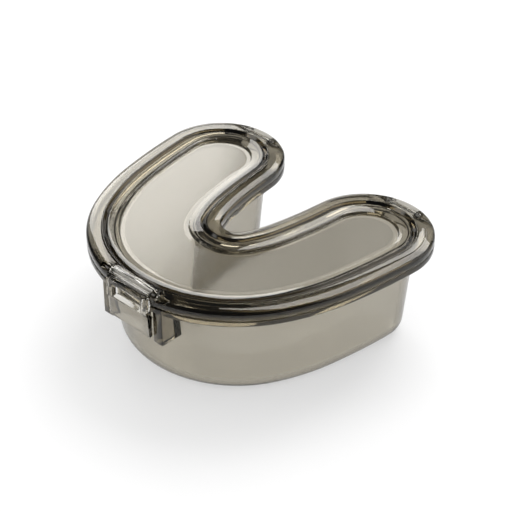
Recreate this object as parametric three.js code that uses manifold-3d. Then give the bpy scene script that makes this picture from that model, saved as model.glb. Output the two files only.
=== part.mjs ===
// A horseshoe shaped case for dental aligners: a drafted tub, a hinged lid and a clip at the front.
// Millimetres, +Z up. The clip faces -Y, the two hinged arm ends face +Y.
import * as THREE from 'three';
import { mergeVertices } from 'three/addons/utils/BufferGeometryUtils.js';
import Module from 'manifold-3d';

const wasm = await Module();
wasm.setup();

// Plan: the centre line of each arm is three tangent bends, and every wall is set in from its edge
const halfStroke = 17.6;
const frontRadius = 21.7;
const cheekRadius = 46.7;
const armRadius = 149;
const frontTurn = 61.5;
const cheekTurn = 16.4;
const armTurn = 6.7;
const tipReach = 1.1;

// General clearances
const fitGap = 0.3;
const boreGap = 0.28;
const cutOverrun = 1.0;

// Tub
const tubHeight = 28.6;
const tubFlange = 1.75;
const tubWall = 1.5;
const tubFloor = 1.5;
const flangeOverhang = 5.5;
const draftInset = 2.0;
const armReach = 1.8;
const floorRound = 4.5;
const edgeRound = 0.3;
const rimHeight = 1.2;
const rimThickness = 1.3;

// Lid, from the flange edge inwards
const lidFlange = 2.0;
const shoulderRound = 0.9;
const bandRise = 0.7;
const ridgeInset = 3.95;
const ridgeRound = 0.3;
const grooveWidth = 1.0;
const grooveDepth = 0.9;
const ledgeSink = 0.25;
const ledgeWidth = 3.0;
const ledgeFall = 0.35;
const recessDepth = 0.8;
const recessFillet = 0.5;

// Hinges at the two arm ends
const hingeSetback = 2.67;
const hingeHeight = 1.5;
const hingeBarrelRadius = 1.25;
const hingePinRadius = 0.45;
const hingePinGrip = 1.0;
const lidKnuckleWidth = 8.8;

// Clip at the front
const clipWidth = 14.3;
const clipProud = 0.4;
const clipThickness = 1.9;
const clipBarrelRadius = 1.55;
const clipPinRadius = 0.55;
const lidEarRadius = 2.0;
const lidEarWidth = 1.7;
const clipPivotSetback = 2.6;
const windowWidth = 10.2;
const windowTop = 1.0;
const windowDrop = 3.1;
const windowStep = 0.45;
const tabTaper = 0.35;
const clipDrop = 9.9;
const clipPinInset = 0.35;
const snapBead = 0.3;
const snapBeadHeight = 1.2;

// Bracket that the clip closes against
const cheekWidth = 3.2;
const bracketSetback = 1.5;
const bracketDrop = 11.3;
const catchWidth = 9.6;
const catchDrop = 3.3;

// Facets
const frontSteps = 8;
const cheekSteps = 2;
const armSteps = 3;
const tipSteps = 12;
const barrelSides = 24;
const pinSides = 16;

const clearPlastic = { color: 0x8f8878, roughness: 0.12, metalness: 0 };
const frostedPlastic = { color: 0x96928a, roughness: 0.45, metalness: 0 };
const pinSteel = { color: 0x8d8d8a, roughness: 0.3, metalness: 1 };

const radians = (degrees) => (degrees * Math.PI) / 180;

// Stations of one arm's centre line, from the front of the case to the centre of the round tip
function centreLine() {
  const bends = [
    { radius: frontRadius, turn: radians(frontTurn), steps: frontSteps },
    { radius: cheekRadius, turn: radians(cheekTurn), steps: cheekSteps },
    { radius: armRadius, turn: radians(armTurn), steps: armSteps },
  ];
  const stations = [{ x: 0, y: 0, heading: 0 }];
  for (const { radius, turn, steps } of bends) {
    const start = stations[stations.length - 1];
    for (let step = 1; step <= steps; step += 1) {
      const heading = start.heading + (turn * step) / steps;
      const x = start.x + radius * (Math.sin(heading) - Math.sin(start.heading));
      const y = start.y - radius * (Math.cos(heading) - Math.cos(start.heading));
      stations.push({ x, y, heading });
    }
  }
  return stations;
}

const stations = centreLine();
const tip = stations[stations.length - 1];

// Outline of the horseshoe, drawn in by inset from the flange edge, counter-clockwise from above.
// The round ends can stand further along the arms.
function outline(inset, further = 0) {
  const reach = halfStroke - inset;
  const endX = tip.x + further * Math.cos(tip.heading);
  const endY = tip.y + further * Math.sin(tip.heading);
  const beside = ({ x, y, heading }, side) => {
    const across = side * reach;
    return new THREE.Vector2(x + across * Math.sin(heading), y - across * Math.cos(heading));
  };
  const outer = stations.map((station) => beside(station, 1));
  const inner = stations.map((station) => beside(station, -1)).reverse();
  const round = [];
  for (let step = 1; step < tipSteps; step += 1) {
    const angle = tip.heading - Math.PI / 2 + (Math.PI * step) / tipSteps;
    round.push(new THREE.Vector2(endX + reach * Math.cos(angle), endY + reach * Math.sin(angle)));
  }
  const half = [...outer, ...round, ...inner];
  const mirrored = half.slice(1, -1).reverse();
  return [...half, ...mirrored.map((point) => new THREE.Vector2(-point.x, point.y))];
}

// Stack of outlines joined by quads, closed by a flat face below and above
function loft(profile) {
  const rings = profile.map(([inset, z, further]) => outline(inset, further).map(({ x, y }) => [x, y, z]));
  const count = rings[0].length;
  const faces = [];
  for (let ring = 0; ring + 1 < rings.length; ring += 1) {
    for (let place = 0; place < count; place += 1) {
      const next = (place + 1) % count;
      const low = ring * count;
      const high = low + count;
      faces.push(low + place, low + next, high + next, low + place, high + next, high + place);
    }
  }
  const cap = (ring) => THREE.ShapeUtils.triangulateShape(outline(profile[ring][0], profile[ring][2]), []);
  const last = rings.length - 1;
  for (const [a, b, c] of cap(0)) faces.push(a, c, b);
  for (const [a, b, c] of cap(last)) faces.push(last * count + a, last * count + b, last * count + c);
  const geometry = new THREE.BufferGeometry();
  geometry.setAttribute('position', new THREE.Float32BufferAttribute(rings.flat(2), 3));
  geometry.setIndex(faces);
  return geometry;
}

// The tub's walls, its rim and the lid's channel over it reach further along the arms
function reached(profile) {
  return profile.map(([inset, z]) => [inset, z, armReach]);
}

// The flange and the lid's band widen round the tips, from the edge of the panel outwards
function widened(profile) {
  return profile.map(([inset, z]) => [inset, z, tipReach * Math.max(0, 1 - inset / panelInset)]);
}

function solid(geometry) {
  geometry.deleteAttribute('normal');
  geometry.deleteAttribute('uv');
  const merged = mergeVertices(geometry);
  const vertProperties = Float32Array.from(merged.attributes.position.array);
  const triVerts = Uint32Array.from(merged.index.array);
  return new wasm.Manifold(new wasm.Mesh({ numProp: 3, vertProperties, triVerts }));
}

// Shape drawn in the Y-Z plane and drawn out along X
function prism(points, fromX, toX) {
  const shape = new THREE.Shape(points.map(([y, z]) => new THREE.Vector2(y, z)));
  const geometry = new THREE.ExtrudeGeometry(shape, { depth: toX - fromX, bevelEnabled: false });
  const toYZX = new THREE.Matrix4().makeBasis(
    new THREE.Vector3(0, 1, 0),
    new THREE.Vector3(0, 0, 1),
    new THREE.Vector3(1, 0, 0),
  );
  geometry.applyMatrix4(toYZX);
  geometry.translate(fromX, 0, 0);
  return solid(geometry);
}

function block(fromX, toX, fromY, toY, fromZ, toZ) {
  return prism([[fromY, fromZ], [toY, fromZ], [toY, toZ], [fromY, toZ]], fromX, toX);
}

// Round bar along X
function rod(radius, fromX, toX, y, z, sides) {
  const geometry = new THREE.CylinderGeometry(radius, radius, toX - fromX, sides);
  geometry.rotateZ(Math.PI / 2);
  geometry.translate((fromX + toX) / 2, y, z);
  return solid(geometry);
}

// Points of an arc in a profile, from one angle to another
function arc(across, up, radius, fromDegrees, toDegrees, steps) {
  const points = [];
  for (let step = 0; step <= steps; step += 1) {
    const angle = radians(fromDegrees + ((toDegrees - fromDegrees) * step) / steps);
    points.push([across + radius * Math.cos(angle), up + radius * Math.sin(angle)]);
  }
  return points;
}

function shown(name, manifold, finish) {
  const { vertProperties, triVerts } = manifold.getMesh();
  const geometry = new THREE.BufferGeometry();
  geometry.setAttribute('position', new THREE.BufferAttribute(vertProperties, 3));
  geometry.setIndex(new THREE.BufferAttribute(triVerts, 1));
  geometry.computeVertexNormals();
  const mesh = new THREE.Mesh(geometry, new THREE.MeshStandardMaterial(finish));
  mesh.name = name;
  return mesh;
}

// Places that several pieces share
const lidBottom = tubHeight + fitGap;
const shoulderZ = lidBottom + lidFlange;
const ridgeZ = shoulderZ + bandRise;
const grooveInset = ridgeInset + ridgeRound * 2;
const ledgeInset = grooveInset + grooveWidth;
const recessInset = ledgeInset + ledgeWidth;
const panelInset = recessInset + recessFillet;
const tipBackY = Math.max(...outline(0, tipReach).map(({ y }) => y));
const hingeY = tipBackY - hingeSetback;
const hingeZ = tubHeight + hingeHeight;
const hingeCentres = [-tip.x, tip.x];
const knuckleRoom = lidKnuckleWidth / 2 + fitGap;
const hingePinHalf = knuckleRoom + hingePinGrip;
const hingePinBore = hingePinRadius + boreGap;
const hingeBoreEnd = hingePinHalf + fitGap;
const hingePocketY = hingeY - hingeBarrelRadius - fitGap;
const clipHalfWidth = clipWidth / 2;
const clipSlotHalfWidth = clipHalfWidth + fitGap;
const clipPivotY = -halfStroke + clipPivotSetback;
const clipPivotZ = lidBottom + lidEarRadius;
const clipFrontY = -halfStroke - clipProud;
const clipBackY = clipFrontY + clipThickness;
const clipPocketY = clipPivotY + clipBarrelRadius + fitGap;
const flangeSlotY = clipBackY + fitGap * 2;

// The lid's side and the top of its band, which the hinges at the tips continue
const bandProfile = [
  [edgeRound, lidBottom],
  [0, lidBottom + edgeRound],
  ...arc(shoulderRound, shoulderZ - shoulderRound, shoulderRound, 180, 105, 3),
  [ridgeInset / 2, (shoulderZ + ridgeZ) / 2],
  ...arc(ridgeInset + ridgeRound, ridgeZ - ridgeRound, ridgeRound, 180, 0, 4),
];

function makeTub() {
  const arcInset = flangeOverhang + draftInset + floorRound;
  const flangeBottom = tubHeight - tubFlange;
  const rimInset = flangeOverhang + tubWall - rimThickness;
  const outside = loft([
    ...reached(arc(arcInset, floorRound, floorRound, -90, -180, 5)),
    ...reached([[flangeOverhang, flangeBottom]]),
    ...widened([
      [edgeRound, flangeBottom],
      [0, flangeBottom + edgeRound],
      [0, tubHeight - edgeRound],
      [edgeRound, tubHeight],
    ]),
    ...reached([
      [rimInset, tubHeight],
      [rimInset, tubHeight + rimHeight - edgeRound],
      [rimInset + edgeRound, tubHeight + rimHeight],
    ]),
  ]);
  const cavity = loft(reached([
    ...arc(arcInset, floorRound, floorRound - tubFloor, -90, -180, 4),
    [flangeOverhang + tubWall, flangeBottom],
    [flangeOverhang + tubWall, tubHeight + rimHeight + cutOverrun],
  ]));
  let tub = solid(outside);

  // Bracket cheeks and the catch between them reach through the wall and are trimmed by the cavity
  const bracketFrontY = -halfStroke + bracketSetback;
  const bracketBottom = tubHeight - bracketDrop;
  for (const side of [-1, 1]) {
    const edges = [side * clipSlotHalfWidth, side * (clipSlotHalfWidth + cheekWidth)];
    const cheek = block(Math.min(...edges), Math.max(...edges), bracketFrontY, 0, bracketBottom, flangeBottom);
    tub = tub.add(cheek);
  }
  const catchBottom = tubHeight - catchDrop;
  const catchProfile = [
    [0, catchBottom],
    [flangeSlotY + edgeRound, catchBottom],
    [flangeSlotY, catchBottom + edgeRound],
    [flangeSlotY, flangeBottom + edgeRound],
    [0, flangeBottom + edgeRound],
  ];
  tub = tub.add(prism(catchProfile, -catchWidth / 2, catchWidth / 2));

  // Hinge ears stand on the flange at both arm ends and carry on the lid's band behind the cut
  // across its tips, with room for the lid's knuckle between them
  const earTop = hingeZ + hingeBarrelRadius;
  const earOutline = solid(loft(widened([[0, flangeBottom], ...bandProfile.slice(1)])));
  const earSection = [
    ...arc(hingeY, hingeZ, hingeBarrelRadius, 90, 180, 6),
    [hingeY - hingeBarrelRadius, flangeBottom],
    [tipBackY, flangeBottom],
    [tipBackY, earTop],
  ];
  for (const centre of hingeCentres) {
    const ears = prism(earSection, centre - halfStroke, centre + halfStroke).intersect(earOutline);
    const room = [centre - knuckleRoom, centre + knuckleRoom, hingePocketY, tipBackY + cutOverrun];
    tub = tub.add(ears).subtract(block(...room, flangeBottom - cutOverrun, earTop + cutOverrun));
    tub = tub.subtract(rod(hingePinBore, centre - hingeBoreEnd, centre + hingeBoreEnd, hingeY, hingeZ, pinSides));
  }

  // Slot in the flange for the clip, then the inside of the tub
  const slot = block(
    -clipSlotHalfWidth,
    clipSlotHalfWidth,
    -halfStroke - cutOverrun,
    flangeSlotY,
    flangeBottom - cutOverrun,
    tubHeight + cutOverrun,
  );
  return tub.subtract(slot).subtract(solid(cavity));
}

function makeLid() {
  const ledgeZ = ridgeZ - ledgeSink;
  const recessZ = ledgeZ - ledgeFall;
  const panelZ = recessZ - recessDepth;
  const outside = loft(widened([
    ...bandProfile,
    [grooveInset, ridgeZ - grooveDepth],
    [ledgeInset, ridgeZ - grooveDepth],
    [ledgeInset, ledgeZ],
    [recessInset, recessZ],
    [recessInset + edgeRound / 2, panelZ + recessFillet],
    [panelInset, panelZ],
  ]));
  let lid = solid(outside);

  // Channel in the underside that drops over the tub's rim
  const channelInset = flangeOverhang + tubWall - rimThickness - fitGap;
  const channelTop = tubHeight + rimHeight + fitGap;
  const channelInner = flangeOverhang + tubWall + fitGap;
  const channel = (inset) => solid(loft(reached([[inset, tubHeight - cutOverrun], [inset, channelTop]])));
  lid = lid.subtract(channel(channelInset).subtract(channel(channelInner)));

  // Hinge knuckles: the lid's round ends are cut off straight in front of the tub's ears, and a
  // knuckle that carries on the band bridges the cut
  const knuckleHalf = lidKnuckleWidth / 2;
  const bridgeFrontY = hingePocketY - edgeRound;
  const knuckleSection = [
    ...arc(hingeY, hingeZ, hingeBarrelRadius, 210, 300, 6),
    [tipBackY, hingeZ],
    [tipBackY, hingeZ + hingeBarrelRadius],
    ...arc(hingeY, hingeZ, hingeBarrelRadius, 90, 120, 2),
    [bridgeFrontY, shoulderZ],
    [bridgeFrontY, lidBottom],
  ];
  const band = solid(loft(widened(bandProfile)));
  const boreEnd = knuckleHalf + cutOverrun;
  for (const centre of hingeCentres) {
    const pocket = block(
      centre - halfStroke,
      centre + halfStroke,
      hingePocketY,
      tipBackY + cutOverrun,
      tubHeight - cutOverrun,
      ridgeZ + cutOverrun,
    );
    const knuckle = prism(knuckleSection, centre - knuckleHalf, centre + knuckleHalf).intersect(band);
    const bore = rod(hingePinBore, centre - boreEnd, centre + boreEnd, hingeY, hingeZ, pinSides);
    lid = lid.subtract(pocket).add(knuckle).subtract(bore);
  }

  // Clip pivot: ears on the band, with the pocket for the clip's barrel between them
  const earOuter = clipSlotHalfWidth + lidEarWidth;
  const ears = rod(lidEarRadius, -earOuter, earOuter, clipPivotY, clipPivotZ, barrelSides);
  const pocket = block(
    -clipSlotHalfWidth,
    clipSlotHalfWidth,
    -halfStroke - lidEarRadius,
    clipPocketY,
    tubHeight - cutOverrun,
    clipPivotZ + lidEarRadius + cutOverrun,
  );
  const bore = rod(clipPinRadius + boreGap, -earOuter - cutOverrun, earOuter + cutOverrun, clipPivotY, clipPivotZ, pinSides);
  return lid.add(ears).subtract(pocket).subtract(bore);
}

function makeClip() {
  const stepZ = tubHeight - windowDrop;
  const footZ = tubHeight - clipDrop;
  const lowerFront = clipFrontY + windowStep;
  const footRadius = clipThickness / 2 - windowStep / 2 - tabTaper / 2;
  const footY = clipBackY - footRadius;
  const upperRadius = clipPivotY - clipFrontY;
  const beadTop = tubHeight - catchDrop - fitGap;
  const profile = [
    ...arc(clipPivotY, clipPivotZ - upperRadius + clipBarrelRadius, upperRadius, 90, 180, 8),
    [clipFrontY, stepZ],
    [lowerFront, stepZ - windowStep / 2],
    ...arc(footY, footZ + footRadius, footRadius, 180, 360, 6),
    [clipBackY, beadTop - snapBeadHeight],
    [clipBackY + snapBead, beadTop - snapBeadHeight / 2],
    [clipBackY + snapBead, beadTop - snapBead],
    [clipBackY, beadTop],
    [clipBackY, clipPivotZ - clipBarrelRadius],
    [clipPivotY, clipPivotZ - clipBarrelRadius],
  ];
  const plate = prism(profile, -clipHalfWidth, clipHalfWidth);
  const barrel = rod(clipBarrelRadius, -clipHalfWidth, clipHalfWidth, clipPivotY, clipPivotZ, barrelSides);
  const windowCut = block(
    -windowWidth / 2,
    windowWidth / 2,
    clipFrontY - cutOverrun,
    clipBackY + cutOverrun,
    stepZ + edgeRound,
    tubHeight + windowTop,
  );
  const bore = rod(
    clipPinRadius + boreGap,
    -clipHalfWidth - cutOverrun,
    clipHalfWidth + cutOverrun,
    clipPivotY,
    clipPivotZ,
    pinSides,
  );
  return plate.add(barrel).subtract(windowCut).subtract(bore);
}

function makeHingePin(centre) {
  return rod(hingePinRadius, centre - hingePinHalf, centre + hingePinHalf, hingeY, hingeZ, pinSides);
}

function makeClipPin() {
  const half = clipSlotHalfWidth + lidEarWidth - clipPinInset;
  return rod(clipPinRadius, -half, half, clipPivotY, clipPivotZ, pinSides);
}

// The case stands with its bottom at zero and the middle of its length over the origin
const alignerCase = new THREE.Group();
alignerCase.position.y = -(tipBackY + clipFrontY) / 2;
alignerCase.add(
  shown('tub', makeTub(), frostedPlastic),
  shown('lid', makeLid(), clearPlastic),
  shown('latch_clip', makeClip(), clearPlastic),
  shown('latch_pin', makeClipPin(), pinSteel),
  shown('hinge_pin_left', makeHingePin(hingeCentres[0]), pinSteel),
  shown('hinge_pin_right', makeHingePin(hingeCentres[1]), pinSteel),
);

export default alignerCase;
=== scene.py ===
# %% [markdown]
# # A horseshoe case in smoky clear plastic
# The case is three mouldings and three wire pins: a tapered tub, a lid that swings on the two arm
# ends, and a clip that snaps over a catch at the front. Nearly all of it is clear plastic, so the
# shapes matter on the inside as much as outside: light bends at every wall. Each moulding is
# therefore one closed skin with real wall thickness, and nothing is faked with a picture.
# The frame below is the exact part, in metres, and every piece lands on it without fitting.

# %% Load the frame that every piece is built around
import math

import bpy
import numpy as np
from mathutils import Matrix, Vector


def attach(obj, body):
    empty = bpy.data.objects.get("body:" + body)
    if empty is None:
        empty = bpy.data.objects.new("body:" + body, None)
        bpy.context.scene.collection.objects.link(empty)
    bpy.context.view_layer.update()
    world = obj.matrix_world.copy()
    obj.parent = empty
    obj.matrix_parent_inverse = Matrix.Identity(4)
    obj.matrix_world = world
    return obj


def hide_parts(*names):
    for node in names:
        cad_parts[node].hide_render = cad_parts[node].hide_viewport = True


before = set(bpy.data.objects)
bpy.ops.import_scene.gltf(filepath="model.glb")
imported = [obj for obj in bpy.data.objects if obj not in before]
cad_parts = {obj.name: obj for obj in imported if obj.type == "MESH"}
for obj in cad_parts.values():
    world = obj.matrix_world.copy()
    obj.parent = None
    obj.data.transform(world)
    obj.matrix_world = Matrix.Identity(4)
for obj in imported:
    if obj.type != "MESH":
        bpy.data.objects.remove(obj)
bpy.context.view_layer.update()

# %% [markdown]
# The plan of the case is one stroke of constant width bent into a horseshoe: three arcs on each
# side, tangent to each other, with a round end. A moulded rim follows that stroke at fixed
# distances from its edge, so each ridge and groove is the same outline drawn in a little further.
# A curve object could carry such a section too, but outlines worked out here can be drawn in by
# any distance and all have the same number of points, so they join up row by row. The lengths
# are in millimetres, as such a part is drawn, and they turn into metres in one place only.

# %% Sizes of the stroke and the function that draws it
MM = 0.001
HALF_STROKE = 17.6
BENDS = [(21.7, 61.5, 26), (46.7, 16.4, 6), (149.0, 6.7, 8)]  # radius, degrees, steps
TIP_STEPS = 36
TUB_HEIGHT = 28.6
TIP_REACH = 1.1
ARM_REACH = 1.8
PANEL_INSET = 9.05
FIT_GAP = 0.3


def centre_line():
    """Points on one arm's centre line, each with its heading in radians."""
    x, y, heading = 0.0, 0.0, 0.0
    stations = [(x, y, heading)]
    for radius, degrees, steps in BENDS:
        turn = math.radians(degrees) / steps
        for _ in range(steps):
            x += radius * (math.sin(heading + turn) - math.sin(heading))
            y -= radius * (math.cos(heading + turn) - math.cos(heading))
            heading += turn
            stations.append((x, y, heading))
    return np.array(stations)


STATIONS = centre_line()
TIP_X, TIP_Y, TIP_HEADING = STATIONS[-1]


def outline(inset, further=0.0):
    """The horseshoe, drawn in by inset from the flange edge, anticlockwise seen from above.

    The round ends can stand further along the arms."""
    reach = HALF_STROKE - inset
    x, y, heading = STATIONS.T
    end_x = TIP_X + further * math.cos(TIP_HEADING)
    end_y = TIP_Y + further * math.sin(TIP_HEADING)
    across = np.column_stack((np.sin(heading), -np.cos(heading)))
    middle = np.column_stack((x, y))
    angles = TIP_HEADING - math.pi / 2 + np.linspace(0, math.pi, TIP_STEPS + 1)[1:-1]
    tip = np.column_stack((end_x + reach * np.cos(angles), end_y + reach * np.sin(angles)))
    half = np.vstack((middle + reach * across, tip, (middle - reach * across)[::-1]))
    return np.vstack((half, half[1:-1][::-1] * (-1, 1)))


def widened(profile):
    """Lets the flange and the lid's band grow wider round the tips, from the panel outwards."""
    return [(inset, z, TIP_REACH * max(0.0, 1 - inset / PANEL_INSET)) for inset, z in profile]


print("points round one outline:", len(outline(0)))

# %% [markdown]
# The drawing above has its zero at the front of the stroke, and the part has its zero in the
# middle of its length. The clip's front and the tips of the arms are the two ends of that
# length, so the shift comes from them. The hinges and the clip's pivot are places where several
# pieces meet, so they are worked out once here.

# %% Places that several pieces share
HINGE_BARREL = 1.25
HINGE_PIN = 0.45
HINGE_SETBACK = 2.67
HINGE_RISE = 1.5
KNUCKLE_HALF = 4.4
CLIP_HALF = 7.15
CLIP_PIN = 0.55
CLIP_PROUD = 0.4
CLIP_THICKNESS = 1.9
PIVOT_SETBACK = 2.6
LID_FLANGE = 2.0
BORE_GAP = 0.28

TIP_BACK = TIP_Y + (HALF_STROKE + TIP_REACH) * math.sin(TIP_HEADING)
HINGE_Y = TIP_BACK - HINGE_SETBACK
HINGE_Z = TUB_HEIGHT + HINGE_RISE
HINGE_CUT_Y = HINGE_Y - HINGE_BARREL - FIT_GAP
EAR_INNER = KNUCKLE_HALF + FIT_GAP
CLIP_SLOT = CLIP_HALF + FIT_GAP
PIVOT_Y = -HALF_STROKE + PIVOT_SETBACK
PIVOT_Z = TUB_HEIGHT + FIT_GAP + LID_FLANGE
CLIP_FRONT = -HALF_STROKE - CLIP_PROUD
CLIP_BACK = CLIP_FRONT + CLIP_THICKNESS
FLANGE_SLOT_Y = CLIP_BACK + 2 * FIT_GAP
SHIFT_Y = -(TIP_BACK + CLIP_FRONT) / 2

# Cutting blocks and pieces that are trimmed later run past what they meet
PAST_FRONT = -30
PAST_TIPS = HINGE_Y + 9
PAST_EDGE = TIP_BACK + 1
LONG_BORE = 12
print("shift along Y, mm:", round(SHIFT_Y, 4))

# %% [markdown]
# A mesh in Blender is a list of points and a list of faces. A skin that follows the stroke is a
# stack of outlines joined by quads, closed by one face at each end. Flat faces stay flat and
# rounded ones look smooth when only edges sharper than a set angle are kept sharp.

# %% Helpers that turn points into closed meshes
SHARP_ANGLE = math.radians(32)


def mesh_piece(name, points, faces):
    """An object from points in drawing millimetres, with smooth shading below the sharp angle."""
    points = (np.asarray(points, float) + (0, SHIFT_Y, 0)) * MM
    mesh = bpy.data.meshes.new(name)
    mesh.from_pydata(points.tolist(), [], [list(map(int, f)) for f in faces])
    mesh.validate()
    mesh.shade_smooth()
    mesh.set_sharp_from_angle(angle=SHARP_ANGLE)
    piece = bpy.data.objects.new(name, mesh)
    bpy.context.scene.collection.objects.link(piece)
    return piece


def stacked(name, rings):
    """A closed skin through rings of as many points each, with a face at both ends."""
    count = len(rings[0])
    ring = np.arange(count)
    after = np.roll(ring, -1)
    faces = []
    for level in range(len(rings) - 1):
        low, high = level * count, (level + 1) * count
        faces += np.column_stack((low + ring, low + after, high + after, high + ring)).tolist()
    faces += [ring[::-1].tolist(), (ring + (len(rings) - 1) * count).tolist()]
    return mesh_piece(name, np.vstack(rings), faces)


def loft(name, profile):
    """A closed skin through outlines at (inset, height, further), from the first to the last."""
    rings = []
    for inset, z, *further in profile:
        ring = outline(inset, *further)
        rings.append(np.column_stack((ring, np.full(len(ring), z))))
    return stacked(name, rings)


def prism(name, section, low, high):
    """A (y, z) section, anticlockwise seen from +X, drawn out along X from low to high."""
    return stacked(name, [[(x, y, z) for y, z in section] for x in (low, high)])


print("edges stay sharp above, degrees:", round(math.degrees(SHARP_ANGLE)))

# %% [markdown]
# Pins and their bores are bars along X, and the pockets are plain boxes. Both are stacks of two
# or four rings, so they come from the same helper. A pin's ends are eased by two smaller rings.

# %% Bars and boxes
BORE_SIDES = 48


def rod(name, radius, low, high, y, z, sides=BORE_SIDES, edge=0.0):
    """A round bar along X, with eased ends where an edge is given."""
    steps = [(low, radius), (high, radius)]
    if edge:
        steps = [(low, radius - edge), (low + edge, radius)]
        steps += [(high - edge, radius), (high, radius - edge)]
    turn = np.linspace(0, 2 * math.pi, sides, endpoint=False)
    across, up = np.cos(turn), np.sin(turn)
    rings = [np.column_stack((np.full(sides, x), y + r * across, z + r * up)) for x, r in steps]
    return stacked(name, rings)


def block(name, x, y, z):
    """A box between pairs of limits, for cutting."""
    return prism(name, [(y[0], z[0]), (y[1], z[0]), (y[1], z[1]), (y[0], z[1])], x[0], x[1])


print("sides of a bore:", BORE_SIDES)

# %% [markdown]
# A moulded part has no sharp corner in its section: each one is a small arc that touches both
# sides. These helpers draw arcs and round the corners of a section before it becomes a skin,
# which gives cleaner faces than a bevel added afterwards.

# %% Helpers that round a section


def arc(across, up, radius, start, end, steps=8):
    """Points of an arc in a section, between two angles in degrees."""
    turn = np.radians(np.linspace(start, end, steps + 1))
    return np.column_stack((across + radius * np.cos(turn), up + radius * np.sin(turn))).tolist()


def fillet(corner, before, after, radius, steps):
    """The corner of a section rounded off between its two neighbours."""
    corner, before, after = (np.array(p, float) for p in (corner, before, after))
    into = (before - corner) / np.linalg.norm(before - corner)
    out = (after - corner) / np.linalg.norm(after - corner)
    half = math.acos(np.clip(into @ out, -1, 1)) / 2
    reach = radius / math.tan(half)
    start, end = corner + into * reach, corner + out * reach
    middle = corner + (into + out) / np.linalg.norm(into + out) * radius / math.sin(half)
    points = []
    for share in np.linspace(0, 1, steps + 1):
        along = (start - middle) * (1 - share) + (end - middle) * share
        points.append((middle + along / np.linalg.norm(along) * radius).tolist())
    return points


def rounded(section, radii, steps):
    """An open section with each corner rounded by its own radius, 0 for a corner that stays."""
    result = []
    last = len(section) - 1
    for place, (point, radius) in enumerate(zip(section, radii)):
        if radius == 0 or place in (0, last):
            result.append(list(point))
        else:
            result += fillet(point, section[place - 1], section[place + 1], radius, steps)
    return result


print("points in a quarter turn:", len(arc(0, 0, 1, 0, 90)))

# %% [markdown]
# Cutting a pocket or joining an ear is a boolean. On clear plastic a join has to be a true one:
# two overlapping skins would show the buried surface. A modifier could stay live on the object,
# but here its result is baked into the mesh at once, so that later steps see plain geometry.

# %% Booleans and bevels, applied at once
BEVEL_ANGLE = 40


def take_result(piece):
    """Replaces the mesh by what its modifiers make of it."""
    bpy.context.view_layer.update()
    result = piece.evaluated_get(bpy.context.evaluated_depsgraph_get())
    mesh = bpy.data.meshes.new_from_object(result)
    piece.modifiers.clear()
    piece.data = mesh
    return piece


def combine(piece, others, operation):
    """Joins or cuts piece with other closed pieces, which are used up."""
    for other in others:
        change = piece.modifiers.new("change", "BOOLEAN")
        change.operation = operation
        change.object = other
        change.solver = "EXACT"
        take_result(piece)
        bpy.data.objects.remove(other)
    return piece


def reshade(piece):
    """Smooth shading again after the faces have changed."""
    piece.data.shade_smooth()
    piece.data.set_sharp_from_angle(angle=SHARP_ANGLE)
    return piece


def bevel(piece, width, angle=BEVEL_ANGLE):
    """Rounds the edges that are sharper than an angle."""
    edge = piece.modifiers.new("edge", "BEVEL")
    edge.width = width * MM
    edge.segments = 3
    edge.limit_method = "ANGLE"
    edge.angle_limit = math.radians(angle)
    edge.harden_normals = False
    return reshade(take_result(piece))


print("bevels take edges above, degrees:", BEVEL_ANGLE)

# %% [markdown]
# The tub is a deep tray with about five degrees of draft, so that it leaves its mould, and a
# thick round where floor meets wall. Its thin flange carries the lid, and a low rim stands inside
# the flange to keep the lid in place. It could be a solid that is hollowed out, but one section
# that runs up the outside, over the rim and down inside gives even walls and true roundings at
# once. At the arm ends the walls come closer to the flange's edge, to give the trays room.

# %% The tub's skin
FLOOR_INSET = 12.0
FLOOR_ROUND = 4.5
FLOOR_ROUND_INSIDE = 3.0
WALL_TOP_INSET = 5.5
WALL_DRAFT = 2.0
RIM_OUTER = 5.7
RIM_INNER = 7.0
RIM_TOP = TUB_HEIGHT + 1.2
FLANGE_UNDER = TUB_HEIGHT - 1.75
REACH_SPREAD = 4


def reach_along(inset, start):
    """How far a row's round ends stand along the arms: little at the edge, more at the walls."""
    share = float(np.clip((inset - start) / REACH_SPREAD, 0, 1))
    return TIP_REACH + (ARM_REACH - TIP_REACH) * share


def tub_profile():
    """Rows of the skin, from the middle of the bottom over the rim to the floor inside."""
    outside = arc(FLOOR_INSET, FLOOR_ROUND, FLOOR_ROUND, -90, -180, 14)
    inside = arc(FLOOR_INSET, FLOOR_ROUND, FLOOR_ROUND_INSIDE, -180, -90, 12)
    corners = [
        (*outside[-1], 0),
        (WALL_TOP_INSET, FLANGE_UNDER, 0.6),
        (0.0, FLANGE_UNDER, 0.4),
        (0.0, TUB_HEIGHT, 0.35),
        (RIM_OUTER, TUB_HEIGHT, 0.25),
        (RIM_OUTER, RIM_TOP, 0.35),
        (RIM_INNER, RIM_TOP, 0.35),
        (RIM_INNER, FLANGE_UNDER, 2.0),
        (*inside[0], 0),
    ]
    upper = rounded([corner[:2] for corner in corners], [corner[2] for corner in corners], 5)
    profile = outside[:-1] + upper + inside[1:]
    return [(inset, z, reach_along(inset, 1.0)) for inset, z in profile]


tub = loft("tub_moulding", tub_profile())
print("tub skin faces:", len(tub.data.polygons))

# %% [markdown]
# Two cheeks stand out from the tub's front wall on either side of the clip, and a catch block
# between them is what the clip snaps under. The cheeks are solid prisms of clear plastic with
# polished flat sides, so they catch light like cut glass. They could be drawn out of the wall's
# own faces, but a closed prism is easier to size. Its back is curved like the wall and ends
# inside it, so that the join leaves no surface buried in the plastic.

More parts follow.
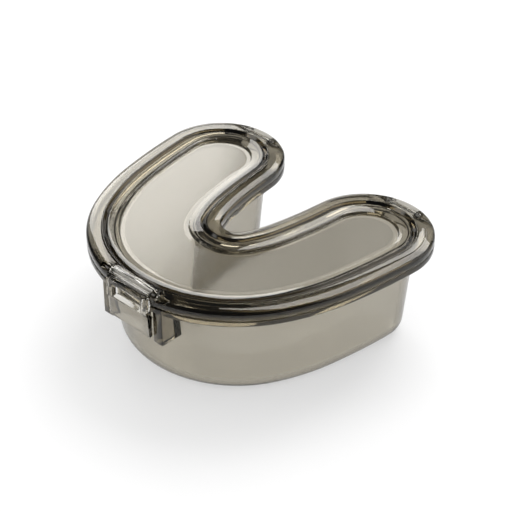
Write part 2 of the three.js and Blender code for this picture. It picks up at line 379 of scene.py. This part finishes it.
# %% Bracket and catch
BRACKET_FRONT = -HALF_STROKE + 1.5
BRACKET_BOTTOM = TUB_HEIGHT - 11.3
CHEEK_OUTER = CLIP_SLOT + 3.2
CHEEK_TOP = FLANGE_UNDER + 0.5
CATCH_HALF = 4.8
CATCH_BOTTOM = TUB_HEIGHT - 3.3
CATCH_TOP = FLANGE_UNDER + 0.7
ANCHOR_DEPTH = 0.7
FRONT_RADIUS = BENDS[0][0]
WALL_FOOT_INSET = 7.5


def wall_y(x, z, depth):
    """Y of the tub's front wall at a height, a depth inside its outer face."""
    rise = (z - FLOOR_ROUND) / (FLANGE_UNDER - FLOOR_ROUND)
    inset = WALL_FOOT_INSET - WALL_DRAFT * rise + depth
    return FRONT_RADIUS - math.sqrt((FRONT_RADIUS + HALF_STROKE - inset) ** 2 - x * x)


def stand_off(name, low, high, front, bottom, top, edge=0.25):
    """A prism that stands out from the front wall, with its back curved to lie inside the wall."""
    rings = []
    for z in (bottom, top):
        back = [(x, wall_y(x, z, ANCHOR_DEPTH), z) for x in np.linspace(low, high, 5)]
        rings.append([(low, front, z), (high, front, z)] + back[::-1])
    return bevel(stacked(name, rings), edge)


bracket = (BRACKET_FRONT, BRACKET_BOTTOM, CHEEK_TOP)
additions = [
    stand_off("cheek_right", CLIP_SLOT, CHEEK_OUTER, *bracket),
    stand_off("cheek_left", -CHEEK_OUTER, -CLIP_SLOT, *bracket),
    stand_off("catch", -CATCH_HALF, CATCH_HALF, FLANGE_SLOT_Y, CATCH_BOTTOM, CATCH_TOP, 0.2),
]
print("pieces on the front wall:", [piece.name for piece in additions])

# %% [markdown]
# At each arm end the round tip is cut straight across, and the tub's two ears and the lid's
# knuckle fill the cut between them, flush with the tip. An ear could be rounded by hand to match,
# but a plain block that is intersected with the lid's own band is flush without any measuring.
# The blind bores for the wire pins are cut last, so that no join can close them again.

# %% Hinge ears, then cuts and joins on the tub
LID_UNDER = TUB_HEIGHT + FIT_GAP
SHOULDER = LID_UNDER + LID_FLANGE
RIDGE_TOP = SHOULDER + 0.7
BAND = [
    (0.0, SHOULDER, 0.95),
    (2.0, SHOULDER + 0.45, 1.5),
    (3.95, RIDGE_TOP - 0.28, 0.25),
    (4.02, RIDGE_TOP, 0.22),
]  # inset, height, rounding
BAND_SETBACK = 0.02
SECTION_STEPS = 4
FLANGE_CUT = (FLANGE_UNDER - 2, TUB_HEIGHT + 2)
EAR_FOOT = TUB_HEIGHT - 0.9
HINGE_PIN_HALF = EAR_INNER + 1.0
BORE_HALF = HINGE_PIN_HALF + FIT_GAP


def band(name):
    """The lid's side and the top of its band, which the hinges at the tips carry on."""
    corners = [(0.0, FLANGE_UNDER, 0), *BAND]
    section = [(inset + BAND_SETBACK, z) for inset, z, _ in corners]
    return loft(name, widened(rounded(section, [corner[2] for corner in corners], SECTION_STEPS)))


cuts = [
    block("flange_slot", (-CLIP_SLOT, CLIP_SLOT), (PAST_FRONT, FLANGE_SLOT_Y), FLANGE_CUT),
]
for side in (-1, 1):
    centre = side * TIP_X
    room = (centre - EAR_INNER, centre + EAR_INNER)
    cuts.append(block("knuckle_room", room, (HINGE_CUT_Y, PAST_TIPS), FLANGE_CUT))
    for end in (-1, 1):
        low, high = sorted((centre + end * EAR_INNER, centre + end * HALF_STROKE))
        section = arc(HINGE_Y, HINGE_Z, HINGE_BARREL, 90, 180, 12)
        section += [(HINGE_Y - HINGE_BARREL, EAR_FOOT), (PAST_EDGE, EAR_FOOT)]
        section += [(PAST_EDGE, HINGE_Z + HINGE_BARREL)]
        ear = prism("ear", section, low, high)
        additions.append(bevel(combine(ear, [band("ear_band")], "INTERSECT"), 0.12))
combine(tub, cuts, "DIFFERENCE")
combine(tub, additions, "UNION")
bores = [
    rod(
        "bore",
        HINGE_PIN + BORE_GAP,
        side * TIP_X - BORE_HALF,
        side * TIP_X + BORE_HALF,
        HINGE_Y,
        HINGE_Z,
    )
    for side in (-1, 1)
]
combine(tub, bores, "DIFFERENCE")
reshade(tub)
print("tub faces:", len(tub.data.polygons))

# %% [markdown]
# The lid has the richest section of all. From the edge inwards: a flat outer face, a rounded
# shoulder, a band that climbs gently, a thin ridge, a V shaped groove, a ledge that falls away,
# and a step down to the panel. Underneath, a channel drops over the tub's rim. Bevels on a flat
# slab could not give these steps, so each corner is listed with its own rounding. The rows of
# the underside follow the tub's walls round the tips, and those above follow the wider edge.

# %% The lid's skin
GROOVE_FLOOR = RIDGE_TOP - 1.0
LEDGE_HIGH = RIDGE_TOP - 0.25
LEDGE_LOW = LEDGE_HIGH - 0.35
PANEL_TOP = LEDGE_LOW - 0.8
CHANNEL_TOP = RIM_TOP + FIT_GAP
CHANNEL_OUTER = 5.4
CHANNEL_INNER = 7.3
SAME_HEIGHT = 0.01


def lid_profile():
    """Rows of the skin from the underside round the edge to the panel: inset, height, rounding."""
    corners = [
        (9.6, LID_UNDER, 0),
        (CHANNEL_INNER, LID_UNDER, 0.2),
        (CHANNEL_INNER, CHANNEL_TOP, 0.3),
        (CHANNEL_OUTER, CHANNEL_TOP, 0.3),
        (CHANNEL_OUTER, LID_UNDER, 0.15),
        (0.0, LID_UNDER, 0.25),
        *BAND,
        (4.3, RIDGE_TOP, 0.08),
        (5.0, GROOVE_FLOOR, 0.12),
        (5.6, LEDGE_HIGH, 0.1),
        (8.5, LEDGE_LOW, 0.25),
        (8.7, PANEL_TOP, 0.2),
        (9.9, PANEL_TOP, 0),
    ]
    section = [(inset, z) for inset, z, _ in corners]
    return rounded(section, [radius for _, _, radius in corners], SECTION_STEPS)


profile = [(9.75, LID_UNDER)] + lid_profile() + [(10.0, PANEL_TOP)]
split = 1 + max(place for place, (_, z) in enumerate(profile) if abs(z - LID_UNDER) < SAME_HEIGHT)
under = [(inset, z, reach_along(inset, 1.4)) for inset, z in profile[:split]]
lid = loft("lid_moulding", under + widened(profile[split:]))
print("lid skin faces:", len(lid.data.polygons))

# %% [markdown]
# The lid's edge is cut back at the clip and at both hinges. Two ears carry the clip's pin, and a
# bridge with a barrel reaches back between the tub's ears at each arm end. They could be part of
# the skin, but then every row would have to bend round them, so they are cut and joined as solids.

# %% Pockets, clip ears and hinge knuckles
EAR_WIDTH = 1.7
CLIP_EAR = 2.0
CLIP_BARREL = 1.55
POCKET_Y = PIVOT_Y + CLIP_BARREL + FIT_GAP
LID_CUT = (LID_UNDER - 3, RIDGE_TOP + 3)
KNUCKLE_ROOT = HINGE_CUT_Y - 0.4
KNUCKLE_BORE_HALF = 6
clip_bore = ("bore", CLIP_PIN + BORE_GAP, -LONG_BORE, LONG_BORE, PIVOT_Y, PIVOT_Z)
cuts = [block("clip_pocket", (-CLIP_SLOT, CLIP_SLOT), (PAST_FRONT, POCKET_Y), LID_CUT)]
additions = []
bores = [rod(*clip_bore)]
for side in (-1, 1):
    low, high = sorted((side * CLIP_SLOT, side * (CLIP_SLOT + EAR_WIDTH)))
    additions.append(rod("clip_ear", CLIP_EAR, low, high, PIVOT_Y, PIVOT_Z, edge=0.3))
    centre = side * TIP_X
    pocket = (centre - HALF_STROKE, centre + HALF_STROKE)
    cuts.append(block("hinge_pocket", pocket, (HINGE_CUT_Y, PAST_TIPS), LID_CUT))
    section = arc(HINGE_Y, HINGE_Z, HINGE_BARREL, -150, -60, 12)
    section += [(PAST_EDGE, HINGE_Z), (PAST_EDGE, HINGE_Z + HINGE_BARREL)]
    section += arc(HINGE_Y, HINGE_Z, HINGE_BARREL, 90, 120, 6)
    section += [(KNUCKLE_ROOT, SHOULDER), (KNUCKLE_ROOT, LID_UNDER)]
    knuckle = prism("knuckle", section, centre - KNUCKLE_HALF, centre + KNUCKLE_HALF)
    additions.append(bevel(combine(knuckle, [band("knuckle_band")], "INTERSECT"), 0.15))
    ends = (centre - KNUCKLE_BORE_HALF, centre + KNUCKLE_BORE_HALF)
    bores.append(rod("bore", HINGE_PIN + BORE_GAP, *ends, HINGE_Y, HINGE_Z))
combine(lid, cuts, "DIFFERENCE")
combine(lid, additions, "UNION")
combine(lid, bores, "DIFFERENCE")
reshade(lid)
print("lid faces:", len(lid.data.polygons))

# %% [markdown]
# The clip hangs from its pin. Its front is one flat plate with a rolled top, a window through
# which the flanges show, a small step below the window and a finger tab with a rounded foot.
# It could be carved from a block, but all of its shape lies in the side view, so that section is
# drawn once and stretched along X. Eased edges then draw bright lines on the clear plastic, and
# the bore comes last, so that no bevel touches it.

# %% The clip
WINDOW_HALF = 5.1
STEP_Z = TUB_HEIGHT - 3.1
WINDOW_BOTTOM = STEP_Z + 0.3
WINDOW_TOP = TUB_HEIGHT + 1.0
FOOT_Z = TUB_HEIGHT - 9.9
FOOT_RADIUS = 0.55
BEAD_TOP = CATCH_BOTTOM - FIT_GAP
BEAD_PROUD = 0.3
roll = PIVOT_Y - CLIP_FRONT
section = arc(PIVOT_Y, PIVOT_Z - roll + CLIP_BARREL, roll, 60, 180, 16)
section += [(CLIP_FRONT, STEP_Z), (CLIP_FRONT + 0.45, STEP_Z - 0.22)]
section += arc(CLIP_BACK - FOOT_RADIUS, FOOT_Z + FOOT_RADIUS, FOOT_RADIUS, 180, 360, 10)
section += [(CLIP_BACK, BEAD_TOP - 1.2), (CLIP_BACK + BEAD_PROUD, BEAD_TOP - 0.6)]
section += [(CLIP_BACK + BEAD_PROUD, BEAD_TOP - 0.3), (CLIP_BACK, BEAD_TOP)]
section += [(CLIP_BACK, PIVOT_Z - CLIP_BARREL)]
section += arc(PIVOT_Y, PIVOT_Z, CLIP_BARREL, -90, 60, 20)
clip = prism("clip_moulding", section, -CLIP_HALF, CLIP_HALF)
through = (CLIP_FRONT - 2, CLIP_BACK + 2)
window = block("window", (-WINDOW_HALF, WINDOW_HALF), through, (WINDOW_BOTTOM, WINDOW_TOP))
combine(clip, [window], "DIFFERENCE")
bevel(clip, 0.22, angle=50)
combine(clip, [rod(*clip_bore)], "DIFFERENCE")
reshade(clip)
print("clip faces:", len(clip.data.polygons))

# %% [markdown]
# The pins are straight lengths of wire, cut and slightly broken at the ends. They run free in
# their bores, so each is a plain bar a little thinner than its hole.

# %% The wire pins
CLIP_PIN_HALF = 8.8
PIN_ENDS = {"sides": 32, "edge": 0.12}
clip_pin = rod(
    "clip_wire_pin", CLIP_PIN, -CLIP_PIN_HALF, CLIP_PIN_HALF, PIVOT_Y, PIVOT_Z, **PIN_ENDS
)
hinge_pins = []
for name, side in (("left", -1), ("right", 1)):
    ends = (side * TIP_X - HINGE_PIN_HALF, side * TIP_X + HINGE_PIN_HALF)
    hinge_pins.append(
        rod(f"hinge_wire_pin_{name}", HINGE_PIN, *ends, HINGE_Y, HINGE_Z, **PIN_ENDS)
    )
print("pins:", [clip_pin.name] + [pin.name for pin in hinge_pins])

# %% [markdown]
# Shader nodes could be added and linked one by one, but shader maths reads best as plain sums.
# This class wraps one socket, so that `1 - mask` or `mask * 0.2` adds its own Math node. The
# sums work with the number on either side.

# %% Writing materials as expressions


class Wire:
    """One output socket of a material's nodes, on which sums can be written."""

    def __init__(self, finish, socket):
        self.finish, self.socket = finish, socket

    def _math(self, operation, first, second):
        return self.finish.node("ShaderNodeMath", {"operation": operation}, {0: first, 1: second})

    def __add__(self, other):
        return self._math("ADD", self, other)

    def __radd__(self, other):
        return self._math("ADD", other, self)

    def __sub__(self, other):
        return self._math("SUBTRACT", self, other)

    def __rsub__(self, other):
        return self._math("SUBTRACT", other, self)

    def __mul__(self, other):
        return self._math("MULTIPLY", self, other)

    def __rmul__(self, other):
        return self._math("MULTIPLY", other, self)

    def out(self, name):
        return Wire(self.finish, self.socket.node.outputs[name])


sums = [name.strip("_") for name in vars(Wire)]
print("sums on a socket:", [name for name in sums if name in ("add", "sub", "mul")])

# %% [markdown]
# A material, and the world too, is a tree of nodes. A recipe adds a node in one call, with its
# settings and with what goes into its sockets: a plain value is typed in, a wire is linked.

# %% Recipes of nodes


class Recipe:
    """A tree of shader nodes, added one call at a time."""

    def __init__(self, tree):
        self.tree = tree
        self.tree.nodes.clear()

    def node(self, kind, settings=None, sockets=None):
        made = self.tree.nodes.new(kind)
        for key, value in (settings or {}).items():
            setattr(made, key, value)
        for key, value in (sockets or {}).items():
            if isinstance(value, Wire):
                self.tree.links.new(value.socket, made.inputs[key])
            else:
                made.inputs[key].default_value = value
        return Wire(self, made.outputs[0])

    def end(self, kind, **sockets):
        made = self.tree.nodes.new(kind)
        for key, value in sockets.items():
            self.tree.links.new(value.socket, made.inputs[key])


class Finish(Recipe):
    """A material made as a recipe."""

    def __init__(self, name):
        self.material = bpy.data.materials.new(name)
        self.material.use_nodes = True
        super().__init__(self.material.node_tree)

    def surface(self, shader, inside=None):
        volume = {"Volume": inside} if inside else {}
        self.end("ShaderNodeOutputMaterial", Surface=shader, **volume)
        return self.material


print("a recipe can:", [name for name in vars(Recipe) if not name.startswith("_")])

# %% [markdown]
# The plastic is a grey-brown clear resin. Where the mould was polished it is glossy and shows
# bent light; where the mould was etched it scatters what passes through. A closed clear piece
# needs one material all over, because light that enters it through one material and leaves
# through another would stay dimmed outside. So the faces carry two numbers that the material
# reads. The first is 1 where the mould was etched, and gives roughness and grain. The second says
# how clear the face is, and it also carries painted shade: towards 0 the base colour turns a
# near-black brown that swallows the light crossing the face, which paints the dark lines of the
# rim as shade. The smoke itself is an absorbing volume, so thick places get darker by themselves.

# %% Smoky plastic, polished or etched by face
SMOKE = (0.30, 0.25, 0.12, 1)
TINT = (0.985, 0.975, 0.95, 1)
# Painted shade: the near-black brown that faces of low clearness take as their base colour
PAINTED_SHADE_BROWN = (0.02, 0.014, 0.006, 1)
WARM_MIRROR = (1.0, 0.965, 0.9, 1)
POLISHED = 0.015


def smoky_plastic(name, density, etched_roughness=0.2):
    finish = Finish(name)
    place = finish.node("ShaderNodeTexCoord").out("Object")
    etched = finish.node("ShaderNodeAttribute", {"attribute_name": "etched"}).out("Fac")
    grain = {"Vector": place, "Scale": 3000.0, "Detail": 3.0}
    waves = {"Vector": place, "Scale": 60.0, "Detail": 1.0}
    fine = finish.node("ShaderNodeTexNoise", {}, grain)
    slow = finish.node("ShaderNodeTexNoise", {}, waves)
    roughness = POLISHED + etched * (etched_roughness - POLISHED)
    roughness = roughness * (0.8 + fine * 0.2 + slow * 0.2)
    relief = {"Strength": 0.3, "Distance": 0.0001, "Height": etched * fine * 0.3 + slow * 0.02}
    bump = finish.node("ShaderNodeBump", {}, relief)
    # Low clearness turns the base colour towards the painted shade brown
    clear = finish.node("ShaderNodeAttribute", {"attribute_name": "clear"}).out("Fac")
    tint = finish.node("ShaderNodeMix", {"data_type": "RGBA"}, {0: clear, 6: PAINTED_SHADE_BROWN, 7: TINT})
    shader = finish.node(
        "ShaderNodeBsdfPrincipled",
        {},
        {
            "Base Color": tint.out("Result"),
            "Roughness": roughness,
            "IOR": 1.5,
            "Specular Tint": WARM_MIRROR,
            "Transmission Weight": 1.0,
            "Normal": bump,
        },
    )
    smoke = finish.node("ShaderNodeVolumeAbsorption", {}, {"Color": SMOKE, "Density": density})
    return finish.surface(shader, smoke)


tub_plastic = smoky_plastic("etched smoky plastic", 340.0)
lid_plastic = smoky_plastic("lid smoky plastic", 300.0, 0.11)
clip_plastic = smoky_plastic("clip smoky plastic", 70.0)
print("plastics:", tub_plastic.name, lid_plastic.name, clip_plastic.name)

# %% [markdown]
# Drawn wire has fine lines along its length. A picture of scratches would do, but noise needs no
# image and never repeats. It is squeezed across the wire and stretched along it, and it only
# moves the roughness, because the lines are too fine to stand out.

# %% Steel wire


def drawn_steel():
    finish = Finish("drawn steel wire")
    place = finish.node("ShaderNodeTexCoord").out("Object")
    along = {"Vector": place, "Scale": (1, 30, 30)}
    streaks = finish.node("ShaderNodeMapping", {}, along)
    fine = {"Vector": streaks, "Scale": 400.0, "Detail": 2.0}
    lines = finish.node("ShaderNodeTexNoise", {}, fine)
    shader = finish.node(
        "ShaderNodeBsdfPrincipled",
        {},
        {"Base Color": (0.5, 0.5, 0.49, 1), "Metallic": 1.0, "Roughness": 0.22 + lines * 0.2},
    )
    return finish.surface(shader)


steel = drawn_steel()
for pin in (clip_pin, *hinge_pins):
    pin.data.materials.append(steel)
print("wire:", steel.name)

# %% [markdown]
# Which faces are etched: the lid's panel and the tub's walls and floor on the outside. Rims,
# flanges, clip, bracket and hinges are polished. The dark lines of the rim are painted shade: the
# groove and the ridge are made near black, and the shoulder darker the more it faces the front.
# The faces could be picked by hand, but a rule on where a face lies and which way it looks still
# holds after the shape changes.

# %% Where each face lies
TOUCH = 0.05
PANEL_AREA = 1e-5
PANEL_CLEAR = 0.66
# Painted shade: the ridge and groove between these insets, and the shoulder that faces the front
RIM_PAINTED_SHADE_FROM, RIM_PAINTED_SHADE_TO = 3.9, 5.7
SHOULDER_WIDTH, SHOULDER_DEPTH = 1.2, 0.85
SHOULDER_SHADED_CLEAR = 0.7
FRONT_FACING_SHADE = 1.6
FRONT_WALL_HALF = 12
FLANGE_WIDTH = 4.0
FLANGE_CLEAR = 0.6
WALL_CLEAR = 0.85


def inset_of(x, y):
    """How far a place lies in from the flange's edge."""
    return HALF_STROKE - np.sqrt(((STATIONS[:, :2] - (abs(x), y)) ** 2).sum(1).min())


def inward(x, y, face):
    """True for a face on the inside of the tub: its normal points to the stroke's centre line."""
    places = STATIONS[:, :2] - (abs(x), y)
    nearest = places[np.argmin((places**2).sum(1))] * (math.copysign(1, x), 1)
    across = nearest @ np.array(face.normal[:2])
    return face.normal.z > 0.5 or across > 0.3 * np.linalg.norm(nearest)


def lid_etched(x, y, z, face):
    flat = abs(z - PANEL_TOP) < SAME_HEIGHT and abs(face.normal.z) > 0.99
    return flat and face.area > PANEL_AREA


def lid_clearness_and_shade(x, y, z, face):
    inset = inset_of(x, y)
    if lid_etched(x, y, z, face):
        return PANEL_CLEAR
    # Painted shade: the ridge and the groove are made near black
    if RIM_PAINTED_SHADE_FROM < inset < RIM_PAINTED_SHADE_TO and z > GROOVE_FLOOR - 2 * TOUCH:
        return 0.0
    # Painted shade: the shoulder is darkened, the more so where it faces the front
    if inset < SHOULDER_WIDTH and z > SHOULDER - SHOULDER_DEPTH:
        clearness_and_shade = SHOULDER_SHADED_CLEAR + face.normal.y * FRONT_FACING_SHADE
        return float(np.clip(clearness_and_shade, 0, SHOULDER_SHADED_CLEAR))
    return 1.0


def tub_etched(x, y, z, face):
    if z > 1.0 and inward(x, y, face):
        return False
    front_wall = wall_y(min(abs(x), FRONT_WALL_HALF), max(z, FLOOR_ROUND), 0)
    clear_front = abs(x) < CHEEK_OUTER + TOUCH and y < front_wall - TOUCH
    return z < FLANGE_UNDER - 0.2 and not clear_front


def tub_clearness(x, y, z, face):
    if tub_etched(x, y, z, face):
        return WALL_CLEAR
    on_rows = inset_of(x, y) < FLANGE_WIDTH and z > FLANGE_UNDER - 2 * TOUCH
    return FLANGE_CLEAR if on_rows and abs(x) > CHEEK_OUTER else 1.0


print("inset in the middle of the stroke, mm:", round(inset_of(0, 0), 1))

# %% [markdown]
# The numbers are stored as face attributes, under the names that the material reads. Numbers on
# the points would blur from one face to the next, and numbers on the faces keep a crisp border
# between polished and etched. They travel with the mesh, and one material serves every face.

# %% Give each face its finish


def finish_faces(piece, plastic, is_etched, clearness_and_shade):
    piece.data.materials.clear()
    piece.data.materials.append(plastic)
    etched = piece.data.attributes.new("etched", "FLOAT", "FACE")
    clear = piece.data.attributes.new("clear", "FLOAT", "FACE")
    for face in piece.data.polygons:
        face.material_index = 0
        x, y, z = (c / MM for c in face.center)
        etched.data[face.index].value = float(is_etched(x, y - SHIFT_Y, z, face))
        clear.data[face.index].value = clearness_and_shade(x, y - SHIFT_Y, z, face)
    print(piece.name, "etched faces:", round(sum(item.value for item in etched.data)))


finish_faces(lid, lid_plastic, lid_etched, lid_clearness_and_shade)
finish_faces(tub, tub_plastic, tub_etched, tub_clearness)
finish_faces(clip, clip_plastic, lambda *place: False, lambda *place: 1.0)

# %% [markdown]
# A visible piece has to move with the part it belongs to. Each one rides the body that carries
# it and stands in for the plain node of the frame, and the table also lists the slot whose
# material it wears. The clip's pin is held by the lid, and the hinge pins are held by the tub.

# %% Each piece rides its body and stands for its node
for piece, body, node, slot in (
    (tub, "tub", "tub", "tub"),
    (lid, "lid", "lid", "lid"),
    (clip, "clip", "latch_clip", "clip"),
    (clip_pin, "lid", "latch_pin", "pins"),
    (hinge_pins[0], "tub", "hinge_pin_left", "pins"),
    (hinge_pins[1], "tub", "hinge_pin_right", "pins"),
):
    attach(piece, body)
    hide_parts(node)
    print(piece.name, "rides", body)

# %% [markdown]
# The stage is a wide white floor. A product photograph burns its floor out to white and keeps
# only a soft shadow. More light could do that, but it would also wash out the plastic, so the
# floor is half a plain diffuse surface, which takes the shadow, and half a white glow for rays
# from the camera or a mirror. Rays bent through the plastic count twice and see only the glow.

# %% The floor
REACH = 3.0
FLOOR_DROP = 0.00005
GLOW_SHARE = 0.5
corners = [(-REACH, -REACH, 0), (REACH, -REACH, 0), (REACH, REACH, 0), (-REACH, REACH, 0)]
floor_mesh = bpy.data.meshes.new("floor")
floor_mesh.from_pydata(corners, [], [(0, 1, 2, 3)])
floor = bpy.data.objects.new("floor", floor_mesh)
bpy.context.scene.collection.objects.link(floor)
floor.location.z = -FLOOR_DROP
paper = Finish("white paper")
seen = paper.node("ShaderNodeLightPath")
diffuse = paper.node("ShaderNodeBsdfDiffuse", {}, {"Color": (0.86, 0.86, 0.86, 1)})
glow = paper.node("ShaderNodeEmission", {}, {"Color": (1, 1, 1, 1), "Strength": 1.0})
straight = seen.out("Is Camera Ray") + seen.out("Is Glossy Ray") + seen.out("Is Transmission Ray")
mixed = paper.node("ShaderNodeMixShader", {}, {0: straight * GLOW_SHARE, 1: diffuse, 2: glow})
floor_mesh.materials.append(paper.surface(mixed))
print("floor width, m:", 2 * REACH)

# %% [markdown]
# Clear plastic shows what is round it. The camera sees a white world and the floor gets even
# light from it, but the plastic itself mirrors and bends a dim dome, which keeps its edges dark.
# A picture of a studio could be the dome, but patches of plain light can be moved one by one.
# Three of them are bright: one behind on the right for the inner sides of the rim, one low on
# the left for its outer side, and a small one at the front left for the clip's edges.

# %% The world
DIM = 0.1
EVEN = 0.85
world = bpy.data.worlds.new("studio")
bpy.context.scene.world = world
world.use_nodes = True
dome = Recipe(world.node_tree)
direction = dome.node("ShaderNodeTexCoord").out("Generated")
path = dome.node("ShaderNodeLightPath")
background = path.out("Is Camera Ray")
scattered = path.out("Is Diffuse Ray")


def patch(towards, start, full, strength):
    """How bright the dome is round one direction, with a soft edge."""
    turned = {"operation": "DOT_PRODUCT"}
    near = dome.node("ShaderNodeVectorMath", turned, {0: direction, 1: towards}).out("Value")
    limits = {"From Min": start, "From Max": full, "To Min": 0.0, "To Max": strength}
    soft = {"interpolation_type": "SMOOTHSTEP"}
    return dome.node("ShaderNodeMapRange", soft, {"Value": near, **limits})


level = DIM
for towards, start, full, strength in (
    ((0.66, 0.6, 0.45), 0.8, 0.93, 1.3),
    ((-0.87, 0.45, 0.2), 0.92, 0.97, 0.8),
    ((-0.57, -0.57, 0.58), 0.96, 0.985, 2.5),
):
    level = level + patch(towards, start, full, strength)
strength = level * (1 - background - scattered) + scattered * EVEN + background
sky = dome.node("ShaderNodeBackground", {}, {"Color": (1, 1, 1, 1), "Strength": strength})
dome.end("ShaderNodeOutputWorld", Surface=sky)
print("nodes in the dome:", len(world.node_tree.nodes))

# %% [markdown]
# Two softboxes light the case. A round one low at the left stands where the panel's left arm
# mirrors it and the near arm doesn't, which splits the panel into a light and a dark half. A
# large one above and behind draws the streaks on the rim and sets the shadow on the near side.

# %% The softboxes
AIM = Vector((0, 0, 0.02))


def softbox(name, shape, place, size, power):
    lamp = bpy.data.lights.new(name, "AREA")
    lamp.shape = shape
    lamp.size, lamp.size_y = size
    lamp.energy = power
    holder = bpy.data.objects.new(name, lamp)
    bpy.context.scene.collection.objects.link(holder)
    holder.location = place
    holder.rotation_euler = (AIM - Vector(place)).to_track_quat("-Z", "Y").to_euler()
    print("softbox", name, "watts:", power)


softbox("left", "ELLIPSE", (-0.547, 0.346, 0.346), (0.32, 0.32), 1.05)
softbox("top", "RECTANGLE", (-0.13, 0.58, 0.8), (0.6, 0.6), 6.0)

# %% [markdown]
# The camera stands where the photographer stood: a long lens, a little over 35 degrees above
# the table and off to the right of the clip. It could be placed by eye, but it was fitted to the
# outlines of lid and tub, so that the render can be compared with the photograph line by line.

# %% Camera
SENSOR = 36
PICTURE = 512
FOCAL_PIXELS = 1695.9
AZIMUTH, ELEVATION, DISTANCE = math.radians(43.74), math.radians(35.40), 431.6
AIMED_AT = (11.51, 16.47)
camera_data = bpy.data.cameras.new("camera")
camera = bpy.data.objects.new("camera", camera_data)
bpy.context.scene.collection.objects.link(camera)
bpy.context.scene.camera = camera
camera_data.sensor_width = SENSOR
camera_data.lens = SENSOR * FOCAL_PIXELS / PICTURE
camera_data.clip_start = 0.01
target = Vector((AIMED_AT[0], AIMED_AT[1] + SHIFT_Y, TUB_HEIGHT)) * MM
back = Vector(
    (
        math.sin(AZIMUTH) * math.cos(ELEVATION),
        -math.cos(AZIMUTH) * math.cos(ELEVATION),
        math.sin(ELEVATION),
    )
)
camera.location = target + back * (DISTANCE * MM)
camera.rotation_mode = "QUATERNION"
camera.rotation_quaternion = (-back).to_track_quat("-Z", "Y")
bpy.context.scene.view_settings.view_transform = "Standard"
print("lens, mm:", round(camera_data.lens, 1))

# %% [markdown] The dressed model should fill the same box as the exact part.
